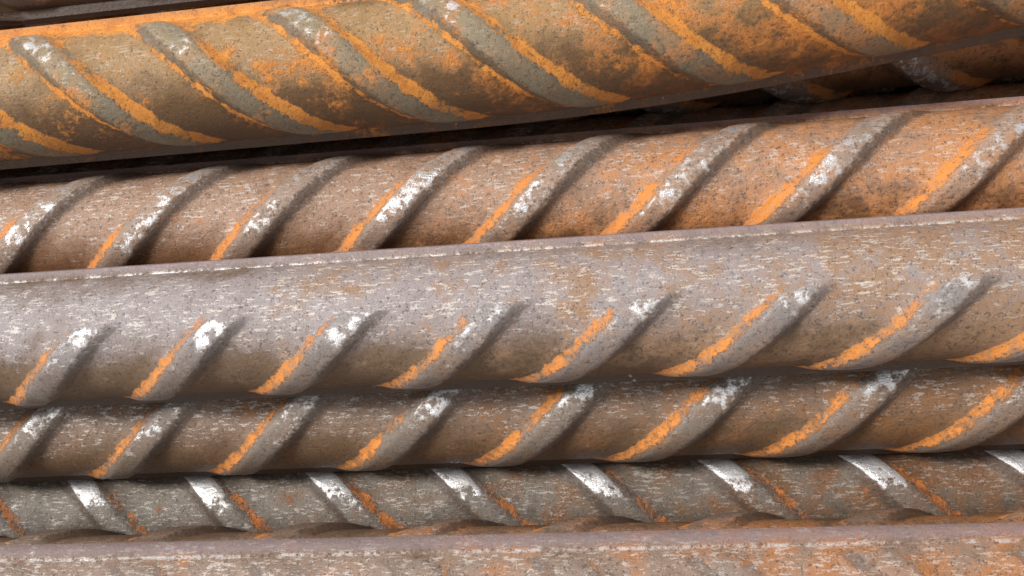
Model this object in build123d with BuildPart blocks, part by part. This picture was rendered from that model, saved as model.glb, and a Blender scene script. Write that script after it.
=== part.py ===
from build123d import *
import math
import os

# A bundle of ribbed reinforcing bars, lying loose-packed on the ground and
# held by wire ties. X runs along the bars, Y across them and Z is up.
# The ribs are surface relief and aren't in this model: a bar is the plain
# round of its nominal size, which has the ribbed bar's own weight.

# The bars, in millimetres
BAR_DIAMETER = 12.0
BAR_LENGTH = 3000.0
BAR_GAP = 0.4
END_CHAMFER = 0.6

# How far each bar's ends stand out of line with the rest, in turn
END_SHIFTS = (0.0, 9.0, -6.0, 4.0, -12.0, 12.0, -3.0, 7.0, -8.0)

# Where the bars in sight touch each other, in degrees from the +Y direction
BESIDE_CENTRE = -4.0
UNDER_CENTRE = -105.0
LOW_FRONT = -123.0
FRONT = 147.0
FAR_FRONT = -154.0
BEHIND = -41.0
CREST = 55.0
LOW_ROW = -5.0
LOW_ROW_END = 5.0

# The bars on the ground: how far each is from the centre bar, in pitches
GROUND_DROP = 2.82
GROUND_ROW = (-3.62, -2.61, -0.86, 0.60, 1.60, 2.89, 4.05, 5.06)

# The two bars that lie askew on top: each leaves its hollow on the left and
# crosses one bar of the layer below to the next hollow. These are places
# along the bundle, each with the share of the way round the crossed bar
FRONT_WAY = ((-420.0, 0.0), (10.0, 0.12), (45.0, 0.34), (78.0, 0.58), (112.0, 0.8), (420.0, 1.0))
BACK_WAY = ((-420.0, 0.0), (45.0, 0.1), (78.0, 0.25), (112.0, 0.4), (200.0, 0.6), (300.0, 0.8), (420.0, 1.0))
CROSS_REACH = 1.03
BEND_SHARE = 0.45

# The wire ties, and how far each pair is from the middle, as shares of the bars' length
TIE_WIRE = 5.0
TIE_GAP = 0.2
TIE_SHARES = (0.21, 0.43)
TWIST_LENGTH = 45.0

PITCH = BAR_DIAMETER + BAR_GAP
BAR_RADIUS = BAR_DIAMETER / 2
TIE_RADIUS = TIE_WIRE / 2
TIE_OFFSET = BAR_RADIUS + TIE_GAP + TIE_RADIUS


def touching(place, degrees):
    """The place of a bar that touches the bar at place, in this direction."""
    turn = math.radians(degrees)
    return (place[0] + PITCH * math.cos(turn), place[1] + PITCH * math.sin(turn))


def hollow(first, second):
    """The place that touches both bars, on the left of the way from first to second."""
    half = math.dist(first, second) / 2
    reach = math.sqrt(PITCH**2 - half**2)
    along = ((second[0] - first[0]) / (2 * half), (second[1] - first[1]) / (2 * half))
    middle = ((first[0] + second[0]) / 2, (first[1] + second[1]) / 2)
    return (middle[0] - reach * along[1], middle[1] + reach * along[0])


# The section, with the centre bar at zero
centre = (0.0, 0.0)
beside = touching(centre, BESIDE_CENTRE)
under = touching(centre, UNDER_CENTRE)
low_front = touching(under, LOW_FRONT)
front = touching(low_front, FRONT)
far_front = touching(front, FAR_FRONT)
under_front = hollow(low_front, front)
inner = hollow(beside, under)
inner_low = hollow(inner, low_front)
behind = touching(beside, BEHIND)
crest = touching(behind, CREST)
back = hollow(crest, behind)
back_top = hollow(crest, back)
back_end = hollow(back_top, back)
low_inner = hollow(behind, inner)
low_middle = touching(low_inner, LOW_ROW)
low_back = touching(low_middle, LOW_ROW)
low_end = touching(low_back, LOW_ROW_END)
ground = [(along * PITCH, -GROUND_DROP * PITCH) for along in GROUND_ROW]

straight_places = [
    centre, beside, under, low_front, front, far_front, under_front,
    inner, inner_low, behind, crest, back, back_top, back_end,
    low_inner, low_middle, low_back, low_end, *ground,
]

# The two bars on top lie in these hollows at the bundle's left and right end
first_left = hollow(beside, crest)
first_right = hollow(crest, back_top)
second_left = first_right
second_right = hollow(back_top, back_end)

# The box's middle and its lowest level, which the ties set
hanging = [*straight_places, first_left, first_right, second_left, second_right]
middle_y = (min(place[0] for place in hanging) + max(place[0] for place in hanging)) / 2
ground_z = ground[0][1] - TIE_OFFSET - TIE_RADIUS


def at(x, place):
    """A place of the section as a point of the bundle's own frame."""
    return (x, place[0] - middle_y, place[1] - ground_z)


def direction(place, other):
    """The direction from one place to another, in degrees from +Y."""
    return math.degrees(math.atan2(other[1] - place[1], other[0] - place[0]))


def crossing_points(left, over, right, way):
    """The corners of a bar's path from its left hollow, round the bar it crosses, to its right one."""
    start = direction(over, left)
    turn = direction(over, right) - start
    points = [(way[0][0], left)]
    for x, share in way[1:-1]:
        seat = touching(over, start + share * turn)
        spread = [middle + CROSS_REACH * (side - middle) for middle, side in zip(over, seat)]
        points.append((x, tuple(spread)))
    points.append((way[-1][0], right))
    return points


def save(shape, name):
    """Labels a finished piece and writes it under that name."""
    shape.label = name
    export_step(shape, f"parts/{name}.step")
    print(name, round(shape.volume, 1))


def straight_bar(place, shift, name):
    """One straight bar, its sheared ends slightly blunted."""
    start = Plane(origin=at(shift - BAR_LENGTH / 2, place), x_dir=(0, 1, 0), z_dir=(1, 0, 0))
    with BuildPart() as bar:
        with BuildSketch(start):
            Circle(BAR_RADIUS)
        extrude(amount=BAR_LENGTH)
        chamfer(bar.faces().filter_by(Axis.X).edges(), END_CHAMFER)
    save(bar.part, name)


def bend_radii(points):
    """For each corner of a path, the radius whose bend takes up its share of the shorter run."""
    radii = []
    for before, corner, after in zip(points, points[1:], points[2:]):
        run_in = Vector(*corner) - Vector(*before)
        run_out = Vector(*after) - Vector(*corner)
        shorter = min(run_in.length, run_out.length)
        turn = math.radians(run_in.get_angle(run_out))
        radii.append(BEND_SHARE * shorter / math.tan(turn / 2))
    return radii


def crossing_bar(left, over, right, way, shift, name):
    """A bar that leaves one hollow, crosses a bar of the layer below and settles in the next."""
    ends = ((shift - BAR_LENGTH / 2, left), (shift + BAR_LENGTH / 2, right))
    corners = [ends[0], *crossing_points(left, over, right, way), ends[1]]
    points = [at(x, place) for x, place in corners]
    start = Plane(origin=points[0], x_dir=(0, 1, 0), z_dir=(1, 0, 0))
    with BuildPart() as bar:
        with BuildLine():
            path = FilletPolyline(*points, radius=bend_radii(points))
        with BuildSketch(start):
            Circle(BAR_RADIUS)
        sweep()
        chamfer(bar.faces().filter_by(Axis.X).edges(), END_CHAMFER)
    print(name, "length", round(path.length, 1), "radii", [round(r) for r in bend_radii(points)])
    save(bar.part, name)


def wire_tie(x, places, name):
    """One turn of wire pulled tight round the bundle, its twisted ends laid along the bars."""
    across = Plane(origin=(x, 0, 0), x_dir=(0, 1, 0), z_dir=(1, 0, 0))
    with BuildSketch(across) as around:
        for place in places:
            with Locations(at(x, place)[1:]):
                Circle(TIE_OFFSET)
        make_hull(mode=Mode.REPLACE)
    loop = around.sketch.faces()[0].outer_wire()
    top_run = loop.edges().filter_by(GeomType.LINE).sort_by(Axis.Z)[-1]
    middle = top_run @ 0.5
    edges = loop.edges()
    halves = (Wire(edges[: len(edges) // 2]), Wire(edges[len(edges) // 2 :]))
    with BuildPart() as tie:
        for half in halves:
            with BuildSketch(Plane(origin=half @ 0, x_dir=(1, 0, 0), z_dir=half % 0)):
                Circle(TIE_RADIUS)
            sweep(path=half)
        with BuildSketch(Plane(origin=middle, x_dir=(0, 1, 0), z_dir=(1, 0, 0))):
            Circle(TIE_RADIUS)
        extrude(amount=TWIST_LENGTH)
    print(name, "loop", round(loop.length, 1), "wire", round(loop.length * math.pi * TIE_RADIUS**2, 1))
    save(tie.part, name)


os.makedirs("parts", exist_ok=True)

for count, place in enumerate(straight_places, start=1):
    straight_bar(place, END_SHIFTS[count % len(END_SHIFTS)], f"bar_{count:02d}")

crossing_bar(first_left, crest, first_right, FRONT_WAY, END_SHIFTS[1], "top_bar_front")
crossing_bar(second_left, back_top, second_right, BACK_WAY, END_SHIFTS[2], "top_bar_back")

for count, share in enumerate(TIE_SHARES, start=1):
    station = share * BAR_LENGTH
    wire_tie(-station, [*straight_places, first_left, second_left], f"tie_left_{count}")
    wire_tie(station, [*straight_places, first_right, second_right], f"tie_right_{count}")
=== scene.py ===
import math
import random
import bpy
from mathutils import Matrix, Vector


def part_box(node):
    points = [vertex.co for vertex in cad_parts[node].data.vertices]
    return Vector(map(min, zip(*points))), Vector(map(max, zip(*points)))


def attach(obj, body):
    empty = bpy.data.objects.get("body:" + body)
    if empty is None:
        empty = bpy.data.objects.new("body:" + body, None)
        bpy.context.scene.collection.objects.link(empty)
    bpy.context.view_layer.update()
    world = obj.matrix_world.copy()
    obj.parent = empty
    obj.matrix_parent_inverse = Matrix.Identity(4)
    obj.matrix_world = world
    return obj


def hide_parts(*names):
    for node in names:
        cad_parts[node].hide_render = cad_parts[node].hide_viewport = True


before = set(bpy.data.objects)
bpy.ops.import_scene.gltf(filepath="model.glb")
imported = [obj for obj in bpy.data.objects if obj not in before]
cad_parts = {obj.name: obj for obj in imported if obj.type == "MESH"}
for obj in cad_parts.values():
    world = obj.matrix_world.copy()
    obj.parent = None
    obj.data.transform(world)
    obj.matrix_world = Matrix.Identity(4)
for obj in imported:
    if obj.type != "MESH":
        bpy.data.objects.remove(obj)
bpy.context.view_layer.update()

# %% [markdown]
# # A bundle of ribbed reinforcing bars
#
# Reinforcing bars are rolled from hot steel billets. The last pair of rolls
# presses two rows of slanting ribs into the round bar, so that concrete can
# grip it, and a thin rib along each side where the two rolls meet. The bars
# are cut to length with a shear, tied into a bundle with soft wire, and left
# in the open, where they rust. The CAD model holds each bar as a plain round
# of the bar's nominal size. Here each bar gets its rolled skin, its sheared
# ends and its rust. Lengths are in metres, X runs along the bars, Y across
# them, away from the photographer, and Z is up.

# %% What the lesson needs
from types import SimpleNamespace
import bmesh
import bpy
import numpy as np
from mathutils import Matrix, Vector

MM = 0.001
random.seed(7)

# %% [markdown]
# ## Where the bars lie
#
# Each straight bar's axis and its two ends can be read off the box of its CAD
# node. The two bars on top cross the layer below them, so their path is
# worked out again as the source of the CAD model does it: from a hollow
# between two bars, round a third bar, into the next hollow.

# %% The straight bars' places
straight_nodes = sorted(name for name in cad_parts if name.startswith("bar_"))
places = {}
ends = {}
for name in straight_nodes:
    low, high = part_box(name)
    places[name] = ((low[1] + high[1]) / 2, (low[2] + high[2]) / 2)
    ends[name] = (low[0], high[0])
PITCH = math.dist(places["bar_01"], places["bar_02"])
print(len(places), "straight bars, pitch", round(PITCH / MM, 2), "mm")

# %% The crossing bars' paths
FRONT_WAY = ((-420, 0.0), (10, 0.12), (45, 0.34), (78, 0.58), (112, 0.8), (420, 1.0))
BACK_WAY = ((-420, 0.0), (45, 0.1), (78, 0.25), (112, 0.4), (200, 0.6), (300, 0.8), (420, 1.0))
CROSS_REACH = 1.03
BEYOND = 2.0


def hollow(first, second):
    """The place that touches both bars, on the left of the way from first to second."""
    half = math.dist(first, second) / 2
    reach = math.sqrt(PITCH**2 - half**2)
    along = ((second[0] - first[0]) / (2 * half), (second[1] - first[1]) / (2 * half))
    middle = ((first[0] + second[0]) / 2, (first[1] + second[1]) / 2)
    return (middle[0] - reach * along[1], middle[1] + reach * along[0])


def direction(place, other):
    """The direction from one place to another, as an angle from +Y."""
    return math.atan2(other[1] - place[1], other[0] - place[0])


def crossing_corners(left, over, right, way):
    """The corners of a path: from its left hollow, round the bar it crosses, to its right one."""
    start = direction(over, left)
    turn = direction(over, right) - start
    reach = PITCH * CROSS_REACH
    corners = [(-BEYOND, *left), (way[0][0] * MM, *left)]
    for x, share in way[1:-1]:
        angle = start + share * turn
        y = over[0] + reach * math.cos(angle)
        z = over[1] + reach * math.sin(angle)
        corners.append((x * MM, y, z))
    return [*corners, (way[-1][0] * MM, *right), (BEYOND, *right)]


first_left = hollow(places["bar_02"], places["bar_11"])
first_right = hollow(places["bar_11"], places["bar_13"])
second_right = hollow(places["bar_13"], places["bar_14"])
paths = {name: [(-BEYOND, *place), (BEYOND, *place)] for name, place in places.items()}
paths["top_bar_front"] = crossing_corners(first_left, places["bar_11"], first_right, FRONT_WAY)
paths["top_bar_back"] = crossing_corners(first_right, places["bar_13"], second_right, BACK_WAY)
for name in ("top_bar_front", "top_bar_back"):
    low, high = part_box(name)
    ends[name] = (low[0], high[0])
print("paths of", len(paths), "bars")

# %% [markdown]
# ## Easy bends
#
# A steel bar bends in long easy curves. Its path could be a spline through
# the corners, but a spline swings out between them, and the bar would run
# into its neighbours. So the straight runs stay where they are, and a short
# parabola, which leaves one run and meets the next without a kink, takes the
# place of each corner.

# %% Rounding the corners of a path
BEND_SHARE = 0.45


def on_path(path, x):
    """For each x, the place of a path and its slope there, with its corners rounded."""
    corners = np.array(path)
    runs = (corners[1:, 1:] - corners[:-1, 1:]) / (corners[1:, :1] - corners[:-1, :1])
    place = np.column_stack([np.interp(x, corners[:, 0], corners[:, axis]) for axis in (1, 2)])
    index = np.clip(np.searchsorted(corners[:, 0], x) - 1, 0, len(runs) - 1)
    slope = runs[index]
    for i in range(1, len(corners) - 1):
        shorter = min(corners[i, 0] - corners[i - 1, 0], corners[i + 1, 0] - corners[i, 0])
        half = BEND_SHARE * shorter
        near = np.abs(x - corners[i, 0]) < half
        into = x[near] - corners[i, 0] + half
        change = (runs[i] - runs[i - 1]) / (4 * half)
        start = corners[i, 1:] - runs[i - 1] * half
        place[near] = start + np.outer(into, runs[i - 1]) + np.outer(into**2, change)
        slope[near] = runs[i - 1] + np.outer(2 * into, change)
    return place, slope


middle_place = on_path(paths["top_bar_front"], np.array([0.0]))[0][0]
print("front top bar's place at the middle", [round(v, 4) for v in middle_place])

# %% [markdown]
# ## The camera
#
# The photograph is a close view, taken from in front of the bundle and
# looking steeply down on it. The camera's three directions are worked out
# from its height above the horizon, from how far the bars come nearer
# towards the right, and from how far they rise in the picture.

# %% The camera
ELEVATION = math.radians(60)
APPROACH = math.radians(8)
RISE = 0.058
DISTANCE = 81.5 * MM
AIM_HEIGHT = 4.6 * MM
LENS = 33.86
SENSOR = 36.0
NEAREST = 10 * MM

along = Vector((math.cos(APPROACH), RISE, -math.sin(APPROACH))).normalized()
up = Vector((0.0, math.cos(ELEVATION), -math.sin(ELEVATION)))
up = (up - along * along.dot(up)).normalized()
away = along.cross(up)
right_way = Vector((along.x, away.x, up.x))
up_way = Vector((along.y, away.y, up.y))
forward = Vector((along.z, away.z, up.z))
aim = Vector((0.0, places["bar_01"][0], places["bar_01"][1] + AIM_HEIGHT))
camera_data = bpy.data.cameras.new("camera")
camera_data.lens = LENS
camera_data.sensor_width = SENSOR
camera_data.clip_start = NEAREST
camera = bpy.data.objects.new("camera", camera_data)
bpy.context.scene.collection.objects.link(camera)
turned = Matrix((right_way, up_way, -forward)).transposed().to_4x4()
turned.translation = aim - forward * DISTANCE
camera.matrix_world = turned
bpy.context.scene.camera = camera
bpy.context.scene.view_settings.view_transform = "Standard"
print("camera at", [round(v, 4) for v in turned.translation])

# %% [markdown]
# ## The skin of a bar
#
# A bar's skin is a tube with ribs on it. It could be a cylinder with ribs
# laid over it, but then the ribs would meet the barrel in a hard line, and
# rolled steel has none. So the skin is laid out flat first: a grid whose
# lines follow the feet and the crest of each rib. The flat grid is then cut
# finer where the eye comes close, and rolled up, and each point is raised by
# the height of the rib there. The two rows of ribs lean opposite ways, so
# the grid is sheared one way in one row and the other way in the other, and
# the two rows meet along the thin ribs at the bar's sides.

# %% The sizes of the skin
BARREL = 5.72 * MM
RIB_HEIGHT = 0.88 * MM
SPACING_MM = 13.2
RIB_SLOPE = math.radians(43)
RIB_FOOT = 1.85 * MM
RIB_EDGE = 0.75 * MM
RIB_FADE = 3
SIDE_RIB_HEIGHT = 0.8 * MM
SIDE_RIB_FOOT = math.radians(8)
SIDE_RIB_EDGE = math.radians(3.5)

# Within this distance of the middle, one bar's front row has shorter ribs
SHORT_BAR = "bar_01"
SHORT_ZONE = 75 * MM
SHORT_MIDDLE = math.radians(-32)
SHORT_HALF = math.radians(56)
SHORT_FADE = 2.5

# A rib leans along the bar as it goes round it. Its foot is wider along the bar than across the rib
LEAN = BARREL / math.tan(RIB_SLOPE)
FOOT_ALONG = RIB_FOOT / math.sin(RIB_SLOPE)
ROW_EDGE = math.pi / 2 - SIDE_RIB_FOOT
around_row = np.linspace(-ROW_EDGE, ROW_EDGE, 6)
around = np.concatenate(
    ([-math.pi / 2], around_row, [math.pi / 2], around_row + math.pi, [1.5 * math.pi])
)
print("cells round a bar", len(around) - 1)

# %% [markdown]
# ## The height of the ribs
#
# A rib is a crescent: it is highest in the middle of its row and sinks into
# the barrel before it reaches the side ribs. It has a flat crest and sloping
# flanks. The relief could be drawn as a picture that lifts the skin, but a
# short sum says the same and stays sharp however near the eye comes.


# %% Ribs and side ribs
def eased(value):
    """A smooth step from 0 to 1."""
    value = np.clip(value, 0, 1)
    return value * value * (3 - 2 * value)


def from_side_rib(turn):
    """How far a turn is from the nearer of the two side ribs."""
    share = (turn + math.pi / 2) % math.pi
    return np.minimum(share, math.pi - share)


def crescent(x, turn, short):
    """The share of its full height that a rib has at this turn, fading towards the side ribs."""
    share = 1 - np.clip((math.pi / 2 - from_side_rib(turn)) / ROW_EDGE, 0, 1) ** RIB_FADE
    if short:
        in_zone = (np.abs(x) < SHORT_ZONE) & (np.abs(turn) < ROW_EDGE)
        shorter = 1 - np.clip(np.abs(turn - SHORT_MIDDLE) / SHORT_HALF, 0, 1) ** SHORT_FADE
        share = np.where(in_zone, np.minimum(share * 2, shorter), share)
    return np.clip(share, 0, 1)


def raised(t, turn, share, spacing):
    """How far the skin stands above the barrel, at t along the bar and this turn round it."""
    across = (t / spacing + 0.5) % 1.0 - 0.5
    across = np.abs(across) * spacing * math.sin(RIB_SLOPE)
    rib = RIB_HEIGHT * share * eased((RIB_FOOT - across) / (RIB_FOOT - RIB_EDGE))
    side = eased((SIDE_RIB_FOOT - from_side_rib(turn)) / (SIDE_RIB_FOOT - SIDE_RIB_EDGE))
    return np.maximum(rib, SIDE_RIB_HEIGHT * side)


front = raised(np.array([0.0]), np.array([0.0]), 1.0, SPACING_MM * MM)
print("a rib stands", round(front[0] / MM, 2), "mm above the barrel")

# %% [markdown]
# ## The flat grid
#
# An even grid would be simpler, but the ribs' edges would fall between its
# lines and look ragged. So there is a line along the crest and along both
# feet of each rib, and no more than that where nobody looks closely. The
# grid runs past the bar's ends, because a slanting rib that crosses the cut
# begins or ends beyond it.

# %% Laying out the flat grid
SPARE = 12 * MM


def only(piece):
    """Makes this the only selected object."""
    bpy.ops.object.select_all(action="DESELECT")
    piece.select_set(True)
    bpy.context.view_layer.objects.active = piece


def points_of(mesh):
    """The places of a mesh's points, one row each."""
    flat = np.empty(len(mesh.vertices) * 3)
    mesh.vertices.foreach_get("co", flat)
    return flat.reshape(-1, 3)


def flat_skin(name, start, finish, phase, spacing):
    """The flat grid: x is the place along the bar, y the turn round it. It runs past both ends."""
    first = math.floor((start - SPARE - phase) / spacing)
    last = math.ceil((finish + SPARE - phase) / spacing)
    lines = []
    for rib in range(first, last + 1):
        middle = rib * spacing
        lines += [middle - FOOT_ALONG, middle, middle + FOOT_ALONG]
    columns, rows = len(lines) - 1, len(around) - 1
    bpy.ops.object.select_all(action="DESELECT")
    bpy.ops.mesh.primitive_grid_add(x_subdivisions=columns, y_subdivisions=rows, size=2)
    piece = bpy.context.object
    piece.name = name
    flat = points_of(piece.data)
    column = np.rint((flat[:, 0] + 1) / 2 * columns).astype(int)
    row = np.rint((flat[:, 1] + 1) / 2 * rows).astype(int)
    flat[:, 0] = np.array(lines)[column]
    flat[:, 1] = around[row]
    piece.data.vertices.foreach_set("co", flat.ravel())
    return piece


def cut_finer(piece, low, high, cuts):
    """Cuts the flat grid finer between two places along the bar."""
    only(piece)
    bpy.ops.object.mode_set(mode="EDIT")
    mesh = bmesh.from_edit_mesh(piece.data)
    for face in mesh.faces:
        middle = face.calc_center_median().x
        face.select_set(low < middle < high)
    mesh.select_flush(True)
    bmesh.update_edit_mesh(piece.data)
    bpy.ops.mesh.subdivide(number_cuts=cuts)
    bpy.ops.object.mode_set(mode="OBJECT")


print("the grid runs at least", round(SPARE / MM), "mm past both ends")

# %% [markdown]
# ## Rolling it up
#
# The flat layout is kept as a map first, because the material asks it later
# where on its rib a point lies. Then each point moves along the bar with its
# turn, which makes the ribs lean, and goes round the bar's path at the
# height of the skin there. Where the path slopes, the round is tilted with
# it, so the bar stays as thick as it was.


# %% Rolling the grid up
def corner_points(mesh):
    """For each corner of each face, the number of its point."""
    corner = np.empty(len(mesh.loops), dtype=int)
    mesh.loops.foreach_get("vertex_index", corner)
    return corner


def map_flat(piece, spacing):
    """Keeps the flat layout as the piece's own map: ribs along it, and the turn round the bar."""
    mesh = piece.data
    flat = points_of(mesh)[corner_points(mesh)]
    layout = np.column_stack((flat[:, 0] / spacing, (flat[:, 1] + math.pi / 2) / (2 * math.pi)))
    mesh.uv_layers[0].name = "skin"
    mesh.uv_layers["skin"].data.foreach_set("uv", layout.ravel())


def roll_up(piece, path, phase, spacing, roll):
    """Rolls the flat grid up round the bar's path and raises its ribs."""
    mesh = piece.data
    flat = points_of(mesh)
    t, turn = flat[:, 0], flat[:, 1]
    lean = np.where(turn <= math.pi / 2, turn, math.pi - turn) * LEAN
    x = t + lean + phase
    share = crescent(x, turn, piece.name.endswith(SHORT_BAR))
    mesh.attributes.new("rib_share", "FLOAT", "POINT").data.foreach_set("value", share)
    radius = BARREL + raised(t, turn, share, spacing)
    angle = roll - turn
    mesh.attributes.new("skyward", "FLOAT", "POINT").data.foreach_set("value", np.sin(angle))
    place, slope = on_path(path, x)
    side = radius * np.cos(angle)
    height = radius * np.sin(angle)
    tilted = x - side * slope[:, 0] - height * slope[:, 1]
    points = np.column_stack((tilted, place[:, 0] + side, place[:, 1] + height))
    mesh.vertices.foreach_set("co", points.ravel())
    mesh.update()


print("a rib leans", round(LEAN * math.pi / MM, 1), "mm along the bar in half a turn")

# %% [markdown]
# ## Sheared ends
#
# A shear leaves a bar's end square and a little blunt at its rim. The rolled
# grid is an open tube that is too long, so it is closed along its seam, cut
# off at both ends by a plane that fills the cut, and the cut face is inset
# and pushed out, which leaves a narrow slope all round it.

# %% Shearing a bar
CHAMFER = 0.6 * MM
MERGE = 0.002 * MM

# A cut face lies on the cutting plane, and only it has more corners than this
ON_PLANE = 0.01 * MM
CUT_CORNERS = 12


def shear_ends(piece, start, finish):
    """Closes the skin, cuts both ends off square, and blunts them."""
    only(piece)
    bpy.ops.object.mode_set(mode="EDIT")
    bpy.ops.mesh.select_all(action="SELECT")
    bpy.ops.mesh.remove_doubles(threshold=MERGE)
    for x, side in ((start + CHAMFER, -1), (finish - CHAMFER, 1)):
        bpy.ops.mesh.select_all(action="SELECT")
        bpy.ops.mesh.bisect(
            plane_co=(x, 0, 0), plane_no=(side, 0, 0), use_fill=True, clear_outer=True
        )
        bpy.ops.mesh.select_mode(type="FACE")
        mesh = bmesh.from_edit_mesh(piece.data)
        for face in mesh.faces:
            flat_on = abs(face.calc_center_median().x - x) < ON_PLANE
            face.select_set(len(face.verts) > CUT_CORNERS and flat_on)
        bmesh.update_edit_mesh(piece.data)
        bpy.ops.mesh.inset(thickness=CHAMFER, depth=CHAMFER)
    bpy.ops.object.mode_set(mode="OBJECT")
    for vertex in piece.data.vertices:
        vertex.co.x = min(max(vertex.co.x, start), finish)


print("blunted by", round(CHAMFER / MM, 1), "mm")

# %% [markdown]
# ## A map for each bar's surface
#
# A bar is 80 times as long as it is round, so a map that follows its shape
# would be a hair-thin line, and most of a texture would stay empty. The
# surface is therefore laid out as strips, one above the other, each a ninth
# of the bar's length. The two cut ends lie as discs in the last row.

# %% The strips
STRIPS = 9
ROWS = STRIPS + 1
STRIP_EDGE = 0.04
DISC_SQUARE = 16 * MM

# The slope at the rim belongs to the cut end, and a cut end has no ribs: in
# the skin's map it gets a place between two ribs
END_PART = 0.75 * CHAMFER
DISC_SKIN = (0.5, 0.25)


def map_strips(piece, start, finish, spacing):
    """Lays the bar's surface out in strips, and its two cut ends as discs."""
    mesh = piece.data
    corner = corner_points(mesh)
    flat = points_of(mesh)[corner]
    skin = np.empty(len(corner) * 2)
    mesh.uv_layers["skin"].data.foreach_get("uv", skin)
    skin = skin.reshape(-1, 2)
    first_corner = np.empty(len(mesh.polygons), dtype=int)
    count = np.empty(len(mesh.polygons), dtype=int)
    mesh.polygons.foreach_get("loop_start", first_corner)
    mesh.polygons.foreach_get("loop_total", count)
    face = np.repeat(np.arange(len(count)), count)
    middle_x = np.add.reduceat(flat[:, 0], first_corner) / count
    side = np.where(middle_x < 0, 0, 1)
    at_end = np.minimum(middle_x - start, finish - middle_x) < END_PART

    t = skin[:, 0] * spacing
    walls = ~at_end[face]
    low, high = t[walls].min(), t[walls].max()
    long = (high - low) / STRIPS
    margin = STRIP_EDGE * long
    middle_t = np.add.reduceat(t, first_corner) / count
    strip = np.clip(np.floor((middle_t - low) / long), 0, STRIPS - 1)[face]
    layout = np.empty((len(corner), 2))
    layout[:, 0] = (t - low - strip * long + margin) / (long + 2 * margin)
    layout[:, 1] = (strip + STRIP_EDGE + (1 - 2 * STRIP_EDGE) * skin[:, 1]) / ROWS

    for end in (0, 1):
        mine = at_end[face] & (side[face] == end)
        disc = flat[mine, 1:]
        disc = disc - (disc.min(axis=0) + disc.max(axis=0)) / 2
        layout[mine] = disc / (DISC_SQUARE * ROWS) + ((0.5 + end) / ROWS, (STRIPS + 0.5) / ROWS)
        skin[mine] = DISC_SKIN
    mesh.uv_layers["skin"].data.foreach_set("uv", skin.ravel())
    mesh.uv_layers.new(name="OFBake").data.foreach_set("uv", layout.ravel())


print(STRIPS, "strips a bar")

# %% [markdown]
# ## How each bar is turned
#
# No two bars in a bundle are turned alike, so each has a roll, which says
# which way its first row of ribs faces, and a shift of its ribs along the
# bar. For the bars that show well in the photograph both follow it, and so
# does the ribs' spacing, which differs a little from one set of rolls to the
# next. The others get a turn and a shift by chance, with a fixed seed.

# %% Each bar's roll in degrees, and its ribs' shift and spacing in mm
turns = {
    "top_bar_front": (-46, 0.2, 12.4),
    "bar_02": (118, 2.0, 12.5),
    "bar_01": (127, 9.7, 12.2),
    "bar_03": (132, 2.4, SPACING_MM),
    "bar_04": (-58, 8.6, SPACING_MM),
    "bar_05": (-30, 10.0, SPACING_MM),
}
seen = [*turns, "top_bar_back", "bar_10", "bar_11"]
for name in sorted(paths):
    if name not in turns:
        turns[name] = (random.uniform(0, 360), random.uniform(0, 13), SPACING_MM)
print(len(seen), "bars in sight,", len(turns), "in all")

# %% The bars
SEEN_HALF = 68 * MM
SEEN_CUTS = 3
END_ZONE = 16 * MM
END_CUTS = 2

bars = {}
for name in sorted(paths):
    roll, phase, spacing = turns[name]
    start, finish = ends[name]
    piece = flat_skin(f"skin_{name}", start, finish, phase * MM, spacing * MM)
    if name in seen:
        cut_finer(piece, -SEEN_HALF, SEEN_HALF, SEEN_CUTS)
    cut_finer(piece, start - END_ZONE, start + END_ZONE, END_CUTS)
    cut_finer(piece, finish - END_ZONE, finish + END_ZONE, END_CUTS)
    map_flat(piece, spacing * MM)
    roll_up(piece, paths[name], phase * MM, spacing * MM, math.radians(roll))
    shear_ends(piece, start, finish)
    map_strips(piece, start, finish, spacing * MM)
    bars[name] = piece
skins = [piece.data for piece in bars.values()]
triangles = sum(len(polygon.vertices) - 2 for mesh in skins for polygon in mesh.polygons)
print(len(bars), "bars,", triangles, "triangles")

# %% [markdown]
# ## Smooth skins and sharp rims
#
# Rolled steel is smooth, and a sheared end has a sharp rim, so the faces are
# shaded smooth and the edges round the cut faces are kept sharp. Then each
# skin is told that it rides on the bundle, which is one body, and which
# plain round of the CAD model it takes the place of.

# %% Shading and riding
BAR_SMOOTH = 50
AT_RIM = 0.1 * MM


def smooth(piece, degrees):
    """Smooth faces, with an edge kept where the surface turns by more than this."""
    only(piece)
    bpy.ops.object.shade_smooth_by_angle(angle=math.radians(degrees))


def crisp_ends(piece, start, finish):
    """Keeps the rims of the two cut faces sharp."""
    mesh = piece.data
    at_end = [min(point.co.x - start, finish - point.co.x) < AT_RIM for point in mesh.vertices]
    for edge in mesh.edges:
        first, second = edge.vertices
        if at_end[first] and at_end[second]:
            edge.use_edge_sharp = True


for name, piece in bars.items():
    smooth(piece, BAR_SMOOTH)
    crisp_ends(piece, *ends[name])
    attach(piece, "root")
    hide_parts(name)
print(len(bars), "bars ride on the bundle")

# %% [markdown]
# ## A way to write shader maths
#
# A material is a tree of nodes. Written out one by one the nodes bury the
# idea, so a small class holds a socket and lets it be used in an ordinary
# expression. Each operator adds one Math node.

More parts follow.
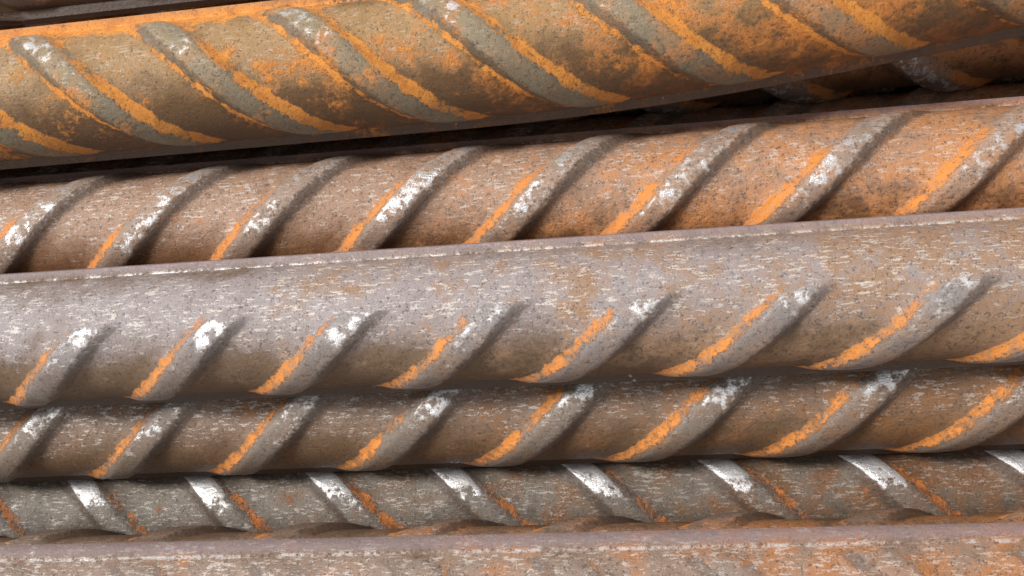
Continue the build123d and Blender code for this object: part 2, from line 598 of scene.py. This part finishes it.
# %% The socket class
class Flow:
    """A number, colour or vector that flows out of a node."""

    def __init__(self, tree, socket):
        self.tree = tree
        self.socket = socket

    def node(self, kind, settings=None, sockets=None, output=0):
        """Adds a node with its settings, then its sockets' values or links."""
        added = self.tree.nodes.new(kind)
        for key, value in (settings or {}).items():
            setattr(added, key, value)
        for key, value in (sockets or {}).items():
            if isinstance(value, Flow):
                self.tree.links.new(value.socket, added.inputs[key])
            else:
                added.inputs[key].default_value = value
        return Flow(self.tree, added.outputs[output])

    def maths(self, operation, first, second=0.0):
        return self.node("ShaderNodeMath", {"operation": operation}, {0: first, 1: second})

    def __add__(self, other):
        return self.maths("ADD", self, other)

    def __radd__(self, other):
        return self.maths("ADD", other, self)

    def __sub__(self, other):
        return self.maths("SUBTRACT", self, other)

    def __rsub__(self, other):
        return self.maths("SUBTRACT", other, self)

    def __mul__(self, other):
        return self.maths("MULTIPLY", self, other)

    def __rmul__(self, other):
        return self.maths("MULTIPLY", other, self)

    def __abs__(self):
        return self.maths("ABSOLUTE", self)

    def fract(self):
        return self.maths("FRACT", self)

    def larger(self, other):
        return self.maths("MAXIMUM", self, other)

    def step(self, low, high):
        """A smooth step: 0 below low, 1 above high. High may be the smaller one."""
        settings = {"interpolation_type": "SMOOTHSTEP"}
        sockets = {"Value": self, "From Min": low, "From Max": high}
        if high < low:
            sockets = {"Value": self, "From Min": high, "From Max": low}
            sockets.update({"To Min": 1.0, "To Max": 0.0})
        return self.node("ShaderNodeMapRange", settings, sockets)

    def noise(self, scale, detail=4.0, roughness=0.55):
        """Noise on this vector."""
        sockets = {"Vector": self, "Scale": scale, "Detail": detail, "Roughness": roughness}
        return self.node("ShaderNodeTexNoise", None, sockets)

    def mixed(self, factor, other):
        """This colour turning into another. The node's sockets 6 and 7 are its colours."""
        settings = {"data_type": "RGBA", "clamp_factor": True}
        return self.node("ShaderNodeMix", settings, {0: factor, 6: self, 7: other}, 2)

    def stretched(self, scale):
        """This vector scaled."""
        return self.node("ShaderNodeMapping", None, {"Vector": self, "Scale": scale})

    def bump(self, strength, depth):
        """The bumps that this height makes on a surface."""
        sockets = {"Height": self, "Strength": strength, "Distance": depth}
        return self.node("ShaderNodeBump", None, sockets)

    def plain(self, value):
        """One colour, to mix others into."""
        flow = self.node("ShaderNodeRGB")
        flow.socket.default_value = value
        return flow

    def object_place(self):
        """The place on the object, as a vector."""
        return self.node("ShaderNodeTexCoord", output="Object")

    def part_of(self, vector, axis):
        """One number of a vector."""
        return self.node("ShaderNodeSeparateXYZ", None, {0: vector}, axis)

    def attribute(self, name):
        """A number that the mesh keeps at its points."""
        return self.node("ShaderNodeAttribute", {"attribute_name": name}, None, "Fac")


# %% Starting and finishing a material
def new_material(name):
    """An empty material, and a Flow to build on."""
    material = bpy.data.materials.new(name)
    material.use_nodes = True
    material.node_tree.nodes.clear()
    return material, Flow(material.node_tree, None)


def colour(red, green, blue):
    """A colour as a screen shows it, from 0 to 255, made linear."""
    linear = [
        ((v / 255 + 0.055) / 1.055) ** 2.4 if v > 10 else v / 3294 for v in (red, green, blue)
    ]
    return (*linear, 1.0)


def finish_material(start, sockets):
    """Joins a surface with these sockets to the material's output."""
    shader = start.node("ShaderNodeBsdfPrincipled", None, sockets)
    output = start.tree.nodes.new("ShaderNodeOutputMaterial")
    start.tree.links.new(shader.socket, output.inputs["Surface"])


print("a mid grey gives back", round(colour(128, 128, 128)[0], 3), "of the light")

# %% [markdown]
# ## Rusty rolled steel
#
# A bar leaves the mill under a blue-grey skin of scale. Rain and rubbing take
# it off in flecks and fine streaks along the bar. Loose orange rust gathers
# where water stays, in the corner along the foot of each rib and most at its
# low end. Between the ribs an older rust covers the barrel. It is paler on the
# side that faces the sky, partly where rain has cleaned it and partly as a
# painted sky sheen, and darker below, with painted shade. The crests of the
# ribs rub against the other bars and stay grey. The bright spots at their high
# ends are partly bare steel and partly painted highlights.
# All of it is broken up by the same few noises, from patches the size of a
# fingertip down to specks, so that the layers look grown together.

# %% The steel's grain
BROAD_SCALE = 110
SPECK_SCALE = 6500


def steel_grain(start):
    """The noises that all the layers of the steel share, and how warm the rust is."""
    place = start.object_place()
    grain = SimpleNamespace()
    grain.broad = place.noise(BROAD_SCALE, 3)
    grain.patches = place.noise(380, 5, 0.6)
    grain.wander = place.noise(900, 4, 0.6) - 0.5
    grain.fine = place.noise(2300, 5, 0.7)
    grain.specks = place.noise(SPECK_SCALE, 3, 0.6)
    grain.drawn = place.stretched((0.22, 1.0, 1.0)).noise(4200, 4, 0.7)

    # In the stretch that the photograph shows, the rust gets warmer towards the right
    along_bar = start.part_of(place, "X")
    shown = abs(along_bar).step(0.2, 0.05)
    grain.warmth = along_bar * 20 * shown + (place.noise(9, 2) - 0.5) * 1.6 * (1 - shown)
    return grain


widest, finest = 1 / BROAD_SCALE / MM, 1 / SPECK_SCALE / MM
print("the grain is", round(widest, 1), "to", round(finest, 2), "mm wide")

# %% [markdown]
# ## Where a point lies on its rib
#
# The skin's own map counts the ribs along the bar and the turn round it, so
# the material can work out how far a point is from the middle line of its
# rib. That could be painted by hand, but then it would have to be painted on
# every bar. The lines are moved a little by the noises, because rust and wear
# never follow a rib's edge exactly.

# %% The parts of a rib
def rib_marks(start, grain):
    """Masks for the parts of a rib and of a side rib. Distances are in millimetres and degrees."""
    skin = start.node("ShaderNodeUVMap", {"uv_map": "skin"})
    ribs = start.part_of(skin, "X")
    turn = start.part_of(skin, "Y")
    stands = start.attribute("rib_share").step(0.08, 0.45)
    signed = ((ribs + 0.5).fract() - 0.5) * (SPACING_MM * math.sin(RIB_SLOPE))
    front_row = turn.step(0.501, 0.499)

    # How far up from the rib's middle line, and how far from it to either side
    upper = signed * (1 - 2 * front_row) + grain.wander * 1.1 + (grain.fine - 0.5) * 0.8
    across = abs(signed) + grain.wander * 0.7 + (grain.fine - 0.5) * 0.6
    rib = SimpleNamespace()
    rib.high_end = (turn * 2).fract()
    rib.crest = across.step(1.25, 0.8) * stands
    rib.flank = across.step(2.1, 1.3) * stands
    rib.upper_flank = upper.step(0.9, 1.25) * upper.step(2.3, 1.7) * stands
    rib.lower_flank = upper.step(-0.75, -1.1) * upper.step(-2.1, -1.7) * stands
    rib.lower_foot = upper.step(-1.55, -1.75) * upper.step(-2.3, -2.05) * stands
    rib.from_side = abs((turn * 2 + 0.5).fract() - 0.5) * 180
    rib.side_rib = rib.from_side.step(7.5, 4.5)
    rib.side_foot = rib.from_side.step(6.5, 8.0) * rib.from_side.step(11.0, 9.0)
    return rib


print("ribs", round(SPACING_MM * math.sin(RIB_SLOPE), 1), "mm apart, measured across them")

# %% [markdown]
# ## The layers of the steel
#
# Real rust builds up in an order, and the material follows it: the old rust
# of the barrel with painted shade below, the scale that is left on it, the
# pits, pale streaks, painted shadow on the ribs' lower flanks, the side ribs
# with a painted sky sheen above and painted shade below, the bare steel of
# the crests with painted highlights, and last the loose rust. Each layer is a
# colour mixed over the ones before it.

# %% Old rust, scale and side ribs
PALE_SCALE = colour(234, 224, 214)
# Lilac scale, put only on the side rib that faces up: partly a painted sky sheen.
LILAC_SCALE_LIT = colour(162, 144, 148)
# The dark of pits, also used as painted shade: under the bars, on the ribs' lower flanks and on the
# side rib that faces down.
PIT_AND_SHADE_DARK = colour(72, 52, 38)
# The colour of bare steel, also used for painted highlights.
BARE_STEEL_GLINT = colour(222, 219, 218)


def old_rust(start, barrel, grain, skyward, washed_and_lit):
    """The barrel between the ribs, in three colours: towards the sky, below, and its old rust, with
    painted shade underneath.
    """
    sky_side, under_side, warm = barrel
    rusted = grain.patches * 0.8 + grain.broad * 0.5 + grain.fine * 0.4 + grain.warmth * 0.14
    shade = start.plain(under_side).mixed(washed_and_lit, sky_side)
    shade = shade.mixed(rusted.step(0.8, 1.04) * 0.9, warm)
    # Painted shade: the barrel darkens on the side that faces down.
    return shade.mixed(skyward.step(0.5, -0.3) * 0.75, PIT_AND_SHADE_DARK)


def scale_left(shade, rib_scale, grain, rib):
    """The mill scale that stays on the ribs."""
    kept = (rib.flank * 0.9 + (grain.fine - 0.5) * 1.1).step(0.3, 0.75) * (0.6 + rib.high_end * 0.4)
    return shade.mixed(kept * (0.85 - (grain.patches - 0.3) * 1.4), rib_scale)


def side_ribs(shade, rib, in_light, top_band):
    """The side ribs: lilac scale with a painted sky sheen on the one facing up, painted shade on
    the one facing down.
    """
    shade = shade.mixed(rib.side_rib * in_light * (0.6 - top_band * 0.5), LILAC_SCALE_LIT)
    return shade.mixed(rib.from_side.step(14.0, 6.0) * (1 - in_light) * 0.8, PIT_AND_SHADE_DARK)


print("layers so far: old rust, scale on the ribs, side ribs")


# %% Bare steel and loose rust
def bare_steel_and_glints(grain, rib, in_light, wear_glint_from, wear_glint):
    """Bare steel where rubbing wears the crests, with painted highlights: spots at their high ends
    and a line along the foot of the side rib that faces up.
    """
    spots = (grain.fine - 0.5) * 1.4 + grain.wander * 2.2 + (grain.patches - 0.5) * 1.4
    wear_glint_end = rib.high_end.step(wear_glint_from - 0.12, wear_glint_from + 0.18)
    # Partly bare steel, partly a painted highlight at the crests' high ends.
    bright = (rib.crest * wear_glint * wear_glint_end + spots).step(0.5, 0.9)
    foot_glint = (grain.fine * 1.2 + grain.patches * 0.8).step(0.95, 1.1)
    # A painted highlight line along the foot of the side rib that faces up.
    return bright.larger(rib.side_foot * in_light * foot_glint * 0.8)


def loose_rust(grain, rib, in_light, top_band, spread):
    """Where loose rust lies: along the ribs' upper feet, most at their low ends, and in patches."""
    low_end = rib.high_end.step(0.95, 0.25)
    gathers = rib.upper_flank * (0.3 + low_end * 0.55) + rib.lower_foot * spread * 0.6
    gathers = gathers + spread * 0.42 + rib.from_side.step(44.0, 14.0) * in_light * top_band
    gathers = gathers + (grain.patches - 0.5) * 1.9 + (grain.broad - 0.5) * (0.6 + spread * 0.6)
    gathers = gathers + (grain.fine - 0.5) * 1.5
    off_crest = 1 - rib.crest * 0.6
    off_side_rib = 1 - rib.side_rib * (0.7 - top_band * 0.5)
    return gathers.step(0.42, 0.9) * off_crest * off_side_rib


def rust_tone(start, corner, barrel, grain, skyward, spread):
    """The loose rust's colour: corner, mixed in places with the barrel's warm and under side, and
    painted shade where it faces down.
    """
    sky_side, under_side, warm = barrel
    warmer = (grain.wander * 1.2 + grain.fine * 0.7).step(0.3, 0.5)
    browner = (grain.specks * 0.7 + grain.fine * 0.5).step(0.56, 0.46)
    tone = start.plain(corner).mixed(warmer * 0.75, warm).mixed(browner * 0.6, under_side)
    # Painted shade: the rust turns browner on the side that faces down.
    return tone.mixed(skyward.step(0.5, -0.4) * (0.1 + spread * 0.6), under_side)


print("layers on top: bare steel, loose rust")

# %% The steel's material
BAND_FROM = 0.4
BUMP_DEPTH = 0.18 * MM


def rusty_steel(name, barrel, corner, rib_scale, spread, streaky, wear_glint_from, wear_glint):
    """Rolled steel, all its layers.

    Barrel is the barrel's three colours, towards the sky, below and old rust; the first two are
    partly painted light and shade. Corner is the loose rust's colour, which creeps as far as
    spread says. Rib_scale is the ribs' colour, and streaky how much scale is drawn off in
    streaks. Wear_glint says how bare the crests are and how strong their painted highlights,
    from the share wear_glint_from of a rib's way up.
    Where rust spreads far, a band of it lies on top of the bar.
    """
    material, start = new_material(name)
    grain = steel_grain(start)
    rib = rib_marks(start, grain)
    skyward = start.attribute("skyward")
    # Paler towards the sky: partly scale that rain has cleaned, partly a painted sky sheen and
    # painted light.
    washed_and_lit = skyward * 0.9 + (grain.patches - 0.5) * 0.8 + (grain.broad - 0.5) * 0.6
    washed_and_lit = washed_and_lit.step(0.35, 0.95)
    in_light = skyward.step(-0.2, 0.3)
    top_band = max(spread - BAND_FROM, 0) * 2.4 * (0.6 - grain.warmth * 0.6)
    pitted = (grain.fine * 0.7 + grain.specks * 0.5).step(0.58, 0.46)
    streaks = grain.drawn * 0.8 + grain.specks * 0.3 + grain.wander * 0.3 + washed_and_lit * 0.05
    streaks = streaks.step(0.63, 0.71)
    bright = bare_steel_and_glints(grain, rib, in_light, wear_glint_from, wear_glint)
    loose = loose_rust(grain, rib, in_light, top_band, spread)

    shade = old_rust(start, barrel, grain, skyward, washed_and_lit)
    shade = scale_left(shade, rib_scale, grain, rib)
    shade = shade.mixed(pitted * 0.65, PIT_AND_SHADE_DARK)
    # Pale streaks of scale, most on the side that faces the sky, where they are partly a painted
    # sheen.
    drawn_off_and_sheen = streaks * (0.1 + washed_and_lit * 0.85) * streaky * (1 - grain.warmth * 0.3)
    shade = shade.mixed(drawn_off_and_sheen, PALE_SCALE)
    # Painted shadow on the lower flank of each rib.
    shade = shade.mixed(rib.lower_flank * 0.55, PIT_AND_SHADE_DARK)
    shade = side_ribs(shade, rib, in_light, top_band)
    shade = shade.mixed(bright, BARE_STEEL_GLINT)
    shade = shade.mixed(loose * 0.95, rust_tone(start, corner, barrel, grain, skyward, spread))

    roughness = 0.5 - bright * 0.2 - streaks * 0.12 + loose * 0.3 + pitted * 0.15
    height = grain.fine * 0.7 + grain.specks * 0.3 + loose * 0.35
    height = height + grain.patches * 0.6 + grain.drawn * 0.35
    sockets = {"Base Color": shade, "Roughness": roughness, "Metallic": bright * 0.5}
    sockets["Normal"] = height.bump(0.75, BUMP_DEPTH)
    finish_material(start, sockets)
    return material


print("rust that spreads further than", BAND_FROM, "also lies in a band on top")

# %% [markdown]
# ## Six finishes
#
# The bars of one bundle don't rust alike: it depends on how hot they left
# the mill and on where they lie in the heap. Each finish is the same
# material with the colours and amounts of one kind of bar in the photograph.
# The bars that the photograph doesn't show get one of the six by chance.

# %% The bars' finishes
orange_rust = colour(244, 154, 72)
deep_rust = colour(226, 136, 66)
# A finish's barrel colours go towards the sky, below, and old rust: the first two are partly
# painted light above and painted shade below.
finishes = {
    "orange": rusty_steel(
        "steel_orange", (colour(184, 144, 94), colour(112, 80, 46), colour(216, 134, 62)),
        corner=colour(250, 164, 74), rib_scale=colour(146, 140, 120),
        spread=0.72, streaky=0.3, wear_glint_from=0.55, wear_glint=0.45,
    ),
    "pink": rusty_steel(
        "steel_pink", (colour(188, 152, 128), colour(140, 98, 66), colour(216, 150, 98)),
        corner=orange_rust, rib_scale=colour(168, 152, 140),
        spread=0.3, streaky=0.75, wear_glint_from=0.3, wear_glint=0.52,
    ),
    "pale": rusty_steel(
        "steel_pale", (colour(180, 168, 168), colour(126, 100, 76), colour(174, 136, 104)),
        corner=orange_rust, rib_scale=colour(156, 149, 148),
        spread=0.05, streaky=0.9, wear_glint_from=0.4, wear_glint=0.6,
    ),
    "brown": rusty_steel(
        "steel_brown", (colour(154, 128, 110), colour(120, 92, 66), colour(150, 106, 68)),
        corner=orange_rust, rib_scale=colour(148, 140, 132),
        spread=0.18, streaky=0.8, wear_glint_from=0.5, wear_glint=0.75,
    ),
    "dark": rusty_steel(
        "steel_dark", (colour(124, 113, 100), colour(72, 58, 47), colour(128, 88, 56)),
        corner=deep_rust, rib_scale=colour(122, 112, 104),
        spread=0.15, streaky=0.4, wear_glint_from=0.6, wear_glint=1.3,
    ),
    "dull": rusty_steel(
        "steel_dull", (colour(164, 140, 124), colour(120, 92, 68), colour(190, 128, 80)),
        corner=orange_rust, rib_scale=colour(160, 142, 130),
        spread=0.22, streaky=0.7, wear_glint_from=0.4, wear_glint=0.3,
    ),
}
print(len(finishes), "finishes")

# %% Which bar has which finish
wears = {
    "top_bar_front": "orange", "top_bar_back": "pale", "bar_01": "pale", "bar_02": "pink",
    "bar_03": "brown", "bar_04": "dark", "bar_05": "dull", "bar_10": "pink", "bar_11": "pink",
}
for name, piece in bars.items():
    chosen = wears.get(name) or random.choice(sorted(finishes))
    piece.data.materials.clear()
    piece.data.materials.append(finishes[chosen])
print(len(wears), "bars in sight have a set finish, the others get one by chance")

# %% [markdown]
# ## The wire ties
#
# A mill ties its bundles with soft wire, pulled tight round the bars and
# twisted at the top. The wire here is a pair of thinner wires twisted
# together. Its line is the tight loop round the bars: the outline of a
# rubber band laid round circles that are a little larger than the bars.

# %% The tie's line
LOOP_REACH = 8.7 * MM
LOOP_STEP = 2 * MM
CIRCLE_POINTS = 72

# The middle plane of a tie is this far from the left side of its CAD node
WIRE_HALF = 2.5 * MM


def tie_places(name):
    """The bars that a tie goes round, with the crossing bars where they are at that tie."""
    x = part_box(name)[0][0] + WIRE_HALF
    around_these = list(places.values())
    for top in ("top_bar_front", "top_bar_back"):
        around_these.append(tuple(on_path(paths[top], np.array([x]))[0][0]))
    return x, around_these


def half_hull(ordered):
    """The points of one side of the outline round points that are in order."""
    hull = []
    for point in ordered:
        while len(hull) > 1:
            (ay, az), (by, bz) = hull[-2:]
            if (by - ay) * (point[1] - az) - (bz - az) * (point[0] - ay) > 0:
                break
            hull.pop()
        hull.append(point)
    return hull[:-1]


def tight_loop(around_these, reach):
    """The convex outline round circles of this reach."""
    points = sorted(
        (y + reach * math.cos(a), z + reach * math.sin(a))
        for y, z in around_these
        for a in np.linspace(0, 2 * math.pi, CIRCLE_POINTS, endpoint=False)
    )
    return half_hull(points) + half_hull(points[::-1])


def evenly(outline, step):
    """A closed outline as evenly spaced points, the outward direction at each, and its length."""
    corners = np.array([*outline, outline[0]])
    lengths = np.hypot(*np.diff(corners, axis=0).T)
    reached = np.concatenate(([0], np.cumsum(lengths)))
    count = round(reached[-1] / step)
    wanted = np.arange(count) * reached[-1] / count
    points = np.column_stack([np.interp(wanted, reached, corners[:, axis]) for axis in range(2)])
    ahead = np.roll(points, -1, axis=0) - np.roll(points, 1, axis=0)
    ahead /= np.hypot(*ahead.T)[:, None]
    return points, np.column_stack((ahead[:, 1], -ahead[:, 0])), reached[-1]


outline_length = evenly(tight_loop(places.values(), LOOP_REACH), LOOP_STEP)[2]
print("a loop round the straight bars is", round(outline_length / MM), "mm long")

# %% [markdown]
# ## Twisting the wire
#
# A twisted pair could be one thick wire with a bump in its material, but its
# outline would stay smooth, and the outline is what shows against the pale
# floor. So each of the two wires is a line of its own, a helix round the
# loop, with a round section, made a mesh.

# %% One wire
STRAND = 1.2 * MM
STRAND_REACH = 1.25 * MM
LOOP_LAY = 20 * MM
TAIL = 44 * MM
TAIL_LAY = 11 * MM
TAIL_STEPS = 60
TAIL_TAPER = 0.15


def wire(name, points, closed):
    """A round wire along these points, as a mesh."""
    line = bpy.data.curves.new(name, "CURVE")
    line.dimensions = "3D"
    line.bevel_depth = STRAND
    line.bevel_resolution = 2
    line.resolution_u = 2
    line.use_fill_caps = not closed
    spline = line.splines.new("NURBS")
    spline.points.add(len(points) - 1)
    for control, point in zip(spline.points, points):
        control.co = (*point, 1.0)
    spline.order_u = 4
    spline.use_cyclic_u = closed
    spline.use_endpoint_u = not closed
    holder = bpy.data.objects.new(name, line)
    bpy.context.scene.collection.objects.link(holder)
    only(holder)
    bpy.ops.object.convert(target="MESH")
    return bpy.context.object


def loop_helix(x, points, outward, twists, side):
    """One wire's line round the bundle."""
    path = []
    for i, ((y, z), (out_y, out_z)) in enumerate(zip(points, outward)):
        angle = side + 2 * math.pi * twists * i / len(points)
        out = STRAND_REACH * math.cos(angle)
        path.append((x + STRAND_REACH * math.sin(angle), y + out * out_y, z + out * out_z))
    return path


def tail_helix(x, foot, side):
    """One wire's line in the twisted end, which lies along the bars."""
    path = []
    for i in range(TAIL_STEPS + 1):
        share = i / TAIL_STEPS
        angle = side + 2 * math.pi * share * TAIL / TAIL_LAY
        spread = STRAND_REACH * (1 - TAIL_TAPER * share)
        y = foot[0] + spread * math.cos(angle)
        z = foot[1] + spread * math.sin(angle)
        path.append((x + TAIL * share, y, z))
    return path


print("the wires are", round(2 * STRAND / MM, 1), "mm thick")

# %% The ties
STRAIGHT_RUN = 4 * MM
WIRE_SMOOTH = 60


def tie(name):
    """A twisted pair of wires round the bundle, and its twisted end on the highest straight run."""
    x, around_these = tie_places(name)
    outline = tight_loop(around_these, LOOP_REACH)
    points, outward, length = evenly(outline, LOOP_STEP)
    twists = round(length / LOOP_LAY)
    corners = np.array([*outline, outline[0]])
    runs = [i for i in range(len(outline)) if math.dist(corners[i], corners[i + 1]) > STRAIGHT_RUN]
    top = max(runs, key=lambda i: corners[i][1] + corners[i + 1][1])
    foot = (corners[top] + corners[top + 1]) / 2
    strands = []
    for side in (0, math.pi):
        strands.append(wire(name, loop_helix(x, points, outward, twists, side), True))
        strands.append(wire(name, tail_helix(x, foot, side), False))
    bpy.ops.object.select_all(action="DESELECT")
    for strand in strands:
        strand.select_set(True)
    bpy.context.view_layer.objects.active = strands[0]
    bpy.ops.object.join()
    piece = bpy.context.object
    piece.name = "wire_" + name
    smooth(piece, WIRE_SMOOTH)
    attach(piece, "root")
    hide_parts(name)
    return piece


ties = [tie(name) for name in sorted(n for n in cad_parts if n.startswith("tie_"))]
for piece in ties:
    print(piece.name, len(piece.data.polygons), "faces")

# %% [markdown]
# ## The wire's finish
#
# Tie wire is annealed, which makes it soft and leaves it nearly black. It
# rusts in brown spots, and shines a little where the pliers gripped it.

# %% Soft black wire
WIRE_BUMP = 0.1 * MM


def annealed_wire():
    """Soft black wire, lightly rusted."""
    material, start = new_material("annealed_wire")
    place = start.object_place()
    spots = place.noise(500, 5, 0.65)
    fine = place.noise(3000, 4, 0.6)
    rusted = (spots + fine * 0.4).step(0.62, 0.85)
    shade = start.plain(colour(84, 76, 72)).mixed(rusted, colour(150, 92, 54))
    shade = shade.mixed(fine.step(0.6, 0.72) * 0.5, colour(150, 146, 142))
    roughness = 0.45 + rusted * 0.35
    metal = fine.step(0.6, 0.75) * 0.5
    sockets = {"Base Color": shade, "Roughness": roughness, "Metallic": metal}
    sockets["Normal"] = (fine + spots).bump(0.5, WIRE_BUMP)
    finish_material(start, sockets)
    return material


wire_finish = annealed_wire()
for piece in ties:
    piece.data.materials.clear()
    piece.data.materials.append(wire_finish)
print(len(ties), "ties finished")

# %% [markdown]
# ## Floor and light
#
# The floor is plain and pale, and so large that its edge is the horizon. A
# sun lamp lights the whole length of the bundle alike, which a lamp near it
# would not: the key light comes from above and from the left, as in the
# photograph. A pale sky fills the shadows. Where the camera or a glossy
# surface sees the sky itself, it is brighter than the light it gives.

# %% The floor
FLOOR_SIZE = 400

bpy.ops.object.select_all(action="DESELECT")
bpy.ops.mesh.primitive_plane_add(size=FLOOR_SIZE)
floor = bpy.context.object
floor.name = "floor"
floor_material, start = new_material("pale_floor")
cloudy = start.object_place().noise(3.0, 4)
floor_shade = start.plain(colour(206, 204, 200)).mixed(cloudy, colour(198, 196, 192))
finish_material(start, {"Base Color": floor_shade, "Roughness": 0.8})
floor.data.materials.append(floor_material)
print("floor", FLOOR_SIZE, "m wide")

# %% The sky
SKY_COLOUR = (0.95, 0.97, 1.0, 1.0)
SKY_LIGHT = 0.3
SKY_SEEN = 0.6

world = bpy.data.worlds.new("pale_sky")
world.use_nodes = True
world.node_tree.nodes.clear()
start = Flow(world.node_tree, None)
seen_straight = start.node("ShaderNodeLightPath", output="Is Camera Ray")
seen_in_gloss = start.node("ShaderNodeLightPath", output="Is Glossy Ray")
strength = SKY_LIGHT + SKY_SEEN * seen_straight.larger(seen_in_gloss)
sky = start.node("ShaderNodeBackground", None, {"Color": SKY_COLOUR, "Strength": strength})
sky_output = world.node_tree.nodes.new("ShaderNodeOutputWorld")
world.node_tree.links.new(sky.socket, sky_output.inputs["Surface"])
bpy.context.scene.world = world
print("sky of strength", SKY_LIGHT)


# %% The lamps
def sun(name, strength, softness, towards, tint):
    """A lamp that lights the whole length of the bundle alike."""
    lamp = bpy.data.lights.new(name, "SUN")
    lamp.energy = strength
    lamp.angle = math.radians(softness)
    lamp.color = tint
    holder = bpy.data.objects.new(name, lamp)
    holder.rotation_mode = "QUATERNION"
    holder.rotation_quaternion = Vector(towards).to_track_quat("-Z", "Y")
    bpy.context.scene.collection.objects.link(holder)


sun("key_light", 3.3, 12, (0.65, 0.06, -0.8), (1.0, 0.98, 0.95))
sun("fill_light", 0.3, 60, (-0.3, -0.9, -0.8), (0.95, 0.97, 1.0))
print("two lamps")
